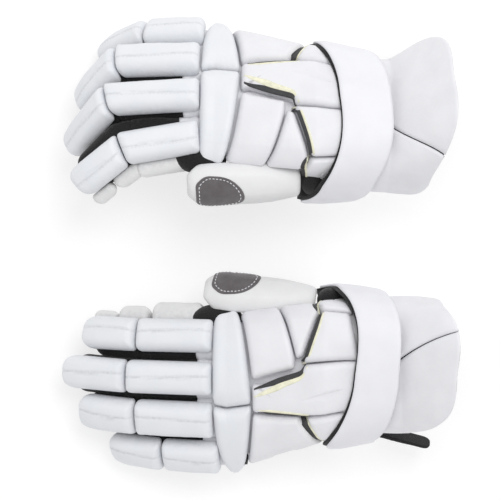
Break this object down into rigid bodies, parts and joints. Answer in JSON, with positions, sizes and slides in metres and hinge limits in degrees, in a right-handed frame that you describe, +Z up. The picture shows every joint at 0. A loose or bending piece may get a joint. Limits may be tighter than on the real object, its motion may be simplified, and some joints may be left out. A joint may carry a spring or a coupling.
{
  "type": "hockey gloves",
  "caption": "White segmented protective gloves with padded, bending fingers, wide wrist straps and short flared cuffs, lying palm down.",
  "frame": {"origin": "on the resting surface, under the middle of the pair's box", "axes": "+Z up out of the backs of the hands, -X towards the fingertips, +Y towards the right glove, away from the left one"},
  "size_m": [0.3386, 0.394, 0.154],
  "materials": {
    "white_leather": "smooth white synthetic leather",
    "pale_leather": "smooth cool white synthetic leather, stitched",
    "black_mesh": "black stretch mesh",
    "grey_suede": "charcoal synthetic suede",
    "white_webbing": "white coated strap fabric",
    "hook_tape": "black hook and loop tape"
  },
  "bodies": {
    "right_hand": {"right_hand_shell": "grey_suede", "right_knuckle_roll_radial": "pale_leather", "right_knuckle_roll_ulnar": "pale_leather", "right_back_pad_index": "white_leather", "right_back_pad_wedge": "white_leather", "right_back_pad_centre": "white_leather", "right_back_pad_ulnar": "white_leather", "right_wrist_strap": "white_webbing"},
    "right_index_base": {"right_index_base_pad": "pale_leather", "right_index_base_stall": "black_mesh"},
    "right_index_tip": {"right_index_tip_pad": "pale_leather", "right_index_tip_stall": "black_mesh"},
    "right_middle_base": {"right_middle_base_pad": "pale_leather", "right_middle_base_stall": "black_mesh"},
    "right_middle_tip": {"right_middle_tip_pad": "pale_leather", "right_middle_tip_stall": "black_mesh"},
    "right_ring_base": {"right_ring_base_pad": "pale_leather", "right_ring_base_stall": "black_mesh"},
    "right_ring_tip": {"right_ring_tip_pad": "pale_leather", "right_ring_tip_stall": "black_mesh"},
    "right_pinky_base": {"right_pinky_base_pad": "pale_leather", "right_pinky_base_stall": "black_mesh"},
    "right_pinky_tip": {"right_pinky_tip_pad": "pale_leather", "right_pinky_tip_stall": "black_mesh"},
    "right_thumb": {"right_thumb_stall": "grey_suede", "right_thumb_pad": "white_leather", "right_thumb_patch": "grey_suede"},
    "right_cuff": {"right_cuff_back": "white_leather", "right_cuff_thumb_side": "white_leather"},
    "right_tab": {"right_strap_tab": "hook_tape"},
    "left_hand": {"left_hand_shell": "grey_suede", "left_knuckle_roll_radial": "pale_leather", "left_knuckle_roll_ulnar": "pale_leather", "left_back_pad_index": "white_leather", "left_back_pad_wedge": "white_leather", "left_back_pad_centre": "white_leather", "left_back_pad_ulnar": "white_leather", "left_wrist_strap": "white_webbing"},
    "left_index_base": {"left_index_base_pad": "pale_leather", "left_index_base_stall": "black_mesh"},
    "left_index_tip": {"left_index_tip_pad": "pale_leather", "left_index_tip_stall": "black_mesh"},
    "left_middle_base": {"left_middle_base_pad": "pale_leather", "left_middle_base_stall": "black_mesh"},
    "left_middle_tip": {"left_middle_tip_pad": "pale_leather", "left_middle_tip_stall": "black_mesh"},
    "left_ring_base": {"left_ring_base_pad": "pale_leather", "left_ring_base_stall": "black_mesh"},
    "left_ring_tip": {"left_ring_tip_pad": "pale_leather", "left_ring_tip_stall": "black_mesh"},
    "left_pinky_base": {"left_pinky_base_pad": "pale_leather", "left_pinky_base_stall": "black_mesh"},
    "left_pinky_tip": {"left_pinky_tip_pad": "pale_leather", "left_pinky_tip_stall": "black_mesh"},
    "left_thumb": {"left_thumb_stall": "grey_suede", "left_thumb_pad": "white_leather", "left_thumb_patch": "grey_suede"},
    "left_cuff": {"left_cuff_back": "white_leather", "left_cuff_thumb_side": "white_leather"},
    "left_tab": {"left_strap_tab": "hook_tape"}
  },
  "joints": [
    {"name": "right_index_knuckle", "type": "hinge", "parent": "right_hand", "child": "right_index_base", "pos_m": [-0.04706, 0.09211, 0.09234], "axis": [0.1276, -0.895, 0.4273], "range_deg": [-8, 40], "stiffness_Nm_per_rad": 1},
    {"name": "right_index_middle_joint", "type": "hinge", "parent": "right_index_base", "child": "right_index_tip", "pos_m": [-0.11009, 0.08155, 0.08903], "axis": [0.4567, -0.7846, 0.4192], "range_deg": [-5, 35], "stiffness_Nm_per_rad": 0.6},
    {"name": "right_middle_knuckle", "type": "hinge", "parent": "right_hand", "child": "right_middle_base", "pos_m": [-0.04637, 0.12368, 0.08329], "axis": [-0.0076, -0.8663, 0.4995], "range_deg": [-8, 40], "stiffness_Nm_per_rad": 1},
    {"name": "right_middle_middle_joint", "type": "hinge", "parent": "right_middle_base", "child": "right_middle_tip", "pos_m": [-0.11886, 0.11987, 0.07559], "axis": [0.3488, -0.79, 0.5041], "range_deg": [-5, 35], "stiffness_Nm_per_rad": 0.6},
    {"name": "right_ring_knuckle", "type": "hinge", "parent": "right_hand", "child": "right_ring_base", "pos_m": [-0.04618, 0.15155, 0.06591], "axis": [-0.0558, -0.8265, 0.5602], "range_deg": [-8, 40], "stiffness_Nm_per_rad": 1},
    {"name": "right_ring_middle_joint", "type": "hinge", "parent": "right_ring_base", "child": "right_ring_tip", "pos_m": [-0.11163, 0.15024, 0.05746], "axis": [0.27, -0.775, 0.5714], "range_deg": [-5, 35], "stiffness_Nm_per_rad": 0.6},
    {"name": "right_pinky_knuckle", "type": "hinge", "parent": "right_hand", "child": "right_pinky_base", "pos_m": [-0.04253, 0.17341, 0.04134], "axis": [-0.0692, -0.7842, 0.6167], "range_deg": [-8, 40], "stiffness_Nm_per_rad": 1},
    {"name": "right_pinky_middle_joint", "type": "hinge", "parent": "right_pinky_base", "child": "right_pinky_tip", "pos_m": [-0.09009, 0.17254, 0.03489], "axis": [-0.1724, -0.7818, 0.5993], "range_deg": [-5, 35], "stiffness_Nm_per_rad": 0.6},
    {"name": "right_thumb_hinge", "type": "hinge", "parent": "right_hand", "child": "right_thumb", "pos_m": [0.03752, 0.05532, 0.08622], "axis": [0.0815, -0.8482, 0.5234], "range_deg": [0, 35], "stiffness_Nm_per_rad": 0.6},
    {"name": "right_cuff_hinge", "type": "hinge", "parent": "right_hand", "child": "right_cuff", "pos_m": [0.11026, 0.10136, 0.06443], "axis": [-0.0056, -0.8484, 0.5294], "range_deg": [-6, 3], "stiffness_Nm_per_rad": 2},
    {"name": "right_tab_hinge", "type": "hinge", "parent": "right_hand", "child": "right_tab", "pos_m": [0.08871, 0.14773, 0.01757], "axis": [0.0569, 0.6814, 0.7297], "range_deg": [0, 90], "stiffness_Nm_per_rad": 0.02},
    {"name": "left_index_knuckle", "type": "hinge", "parent": "left_hand", "child": "left_index_base", "pos_m": [-0.03474, -0.08048, 0.06168], "axis": [0.0095, -0.9945, -0.1041], "range_deg": [-8, 40], "stiffness_Nm_per_rad": 1},
    {"name": "left_index_middle_joint", "type": "hinge", "parent": "left_index_base", "child": "left_index_tip", "pos_m": [-0.09706, -0.07955, 0.04712], "axis": [0.0095, -0.9945, -0.1041], "range_deg": [-5, 35], "stiffness_Nm_per_rad": 0.6},
    {"name": "left_middle_knuckle", "type": "hinge", "parent": "left_hand", "child": "left_middle_base", "pos_m": [-0.03495, -0.11324, 0.06396], "axis": [0.0157, -0.9848, -0.1729], "range_deg": [-8, 40], "stiffness_Nm_per_rad": 1},
    {"name": "left_middle_middle_joint", "type": "hinge", "parent": "left_middle_base", "child": "left_middle_tip", "pos_m": [-0.10604, -0.11148, 0.04745], "axis": [0.0157, -0.9848, -0.1729], "range_deg": [-5, 35], "stiffness_Nm_per_rad": 0.6},
    {"name": "left_ring_knuckle", "type": "hinge", "parent": "left_hand", "child": "left_ring_base", "pos_m": [-0.03433, -0.14537, 0.05716], "axis": [0.0219, -0.9703, -0.2409], "range_deg": [-8, 40], "stiffness_Nm_per_rad": 1},
    {"name": "left_ring_middle_joint", "type": "hinge", "parent": "left_ring_base", "child": "left_ring_tip", "pos_m": [-0.09861, -0.14315, 0.04236], "axis": [0.0219, -0.9703, -0.2409], "range_deg": [-5, 35], "stiffness_Nm_per_rad": 0.6},
    {"name": "left_pinky_knuckle", "type": "hinge", "parent": "left_hand", "child": "left_pinky_base", "pos_m": [-0.02895, -0.17437, 0.04217], "axis": [0.028, -0.9511, -0.3077], "range_deg": [-8, 40], "stiffness_Nm_per_rad": 1},
    {"name": "left_pinky_middle_joint", "type": "hinge", "parent": "left_pinky_base", "child": "left_pinky_tip", "pos_m": [-0.07571, -0.17231, 0.03153], "axis": [0.028, -0.9511, -0.3077], "range_deg": [-5, 35], "stiffness_Nm_per_rad": 0.6},
    {"name": "left_thumb_hinge", "type": "hinge", "parent": "left_hand", "child": "left_thumb", "pos_m": [0.05214, -0.04946, 0.05589], "axis": [-0.068, -0.9744, -0.2142], "range_deg": [0, 35], "stiffness_Nm_per_rad": 0.6},
    {"name": "left_cuff_hinge", "type": "hinge", "parent": "left_hand", "child": "left_cuff", "pos_m": [0.12392, -0.10142, 0.06159], "axis": [0.0188, -0.9781, -0.2071], "range_deg": [-6, 3], "stiffness_Nm_per_rad": 2},
    {"name": "left_tab_hinge", "type": "hinge", "parent": "left_hand", "child": "left_tab", "pos_m": [0.10567, -0.16063, 0.03043], "axis": [0.0834, 0.392, -0.9162], "range_deg": [0, 90], "stiffness_Nm_per_rad": 0.02},
    {"name": "left_glove_lift", "type": "slide", "parent": "right_hand", "child": "left_hand", "axis": [0, 0, 1], "range_m": [0, 0.2]}
  ]
}
